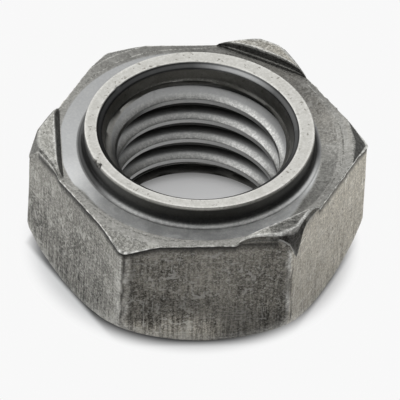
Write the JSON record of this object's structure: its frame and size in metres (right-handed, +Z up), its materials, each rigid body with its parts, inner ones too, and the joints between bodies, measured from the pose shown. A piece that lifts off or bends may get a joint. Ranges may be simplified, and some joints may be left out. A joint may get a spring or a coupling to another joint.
{
  "type": "hex weld nut",
  "caption": "Forged steel hexagon weld nut: threaded bore, round pilot collar in a shallow dished ring, and raised weld projections on alternate corners.",
  "frame": {"origin": "middle of the plain base, on the thread's axis, where the nut rests", "axes": "+Z up along the thread's axis, from the base to the collar; +X towards a corner of the hexagon that has no projection; +Y towards the middle of a flat"},
  "size_m": [0.0216, 0.019, 0.0099],
  "materials": {
    "steel": "bare forged steel, satin, with fine grain and bright worn edges"
  },
  "bodies": {
    "root": {"weld_nut": "steel"}
  },
  "joints": []
}
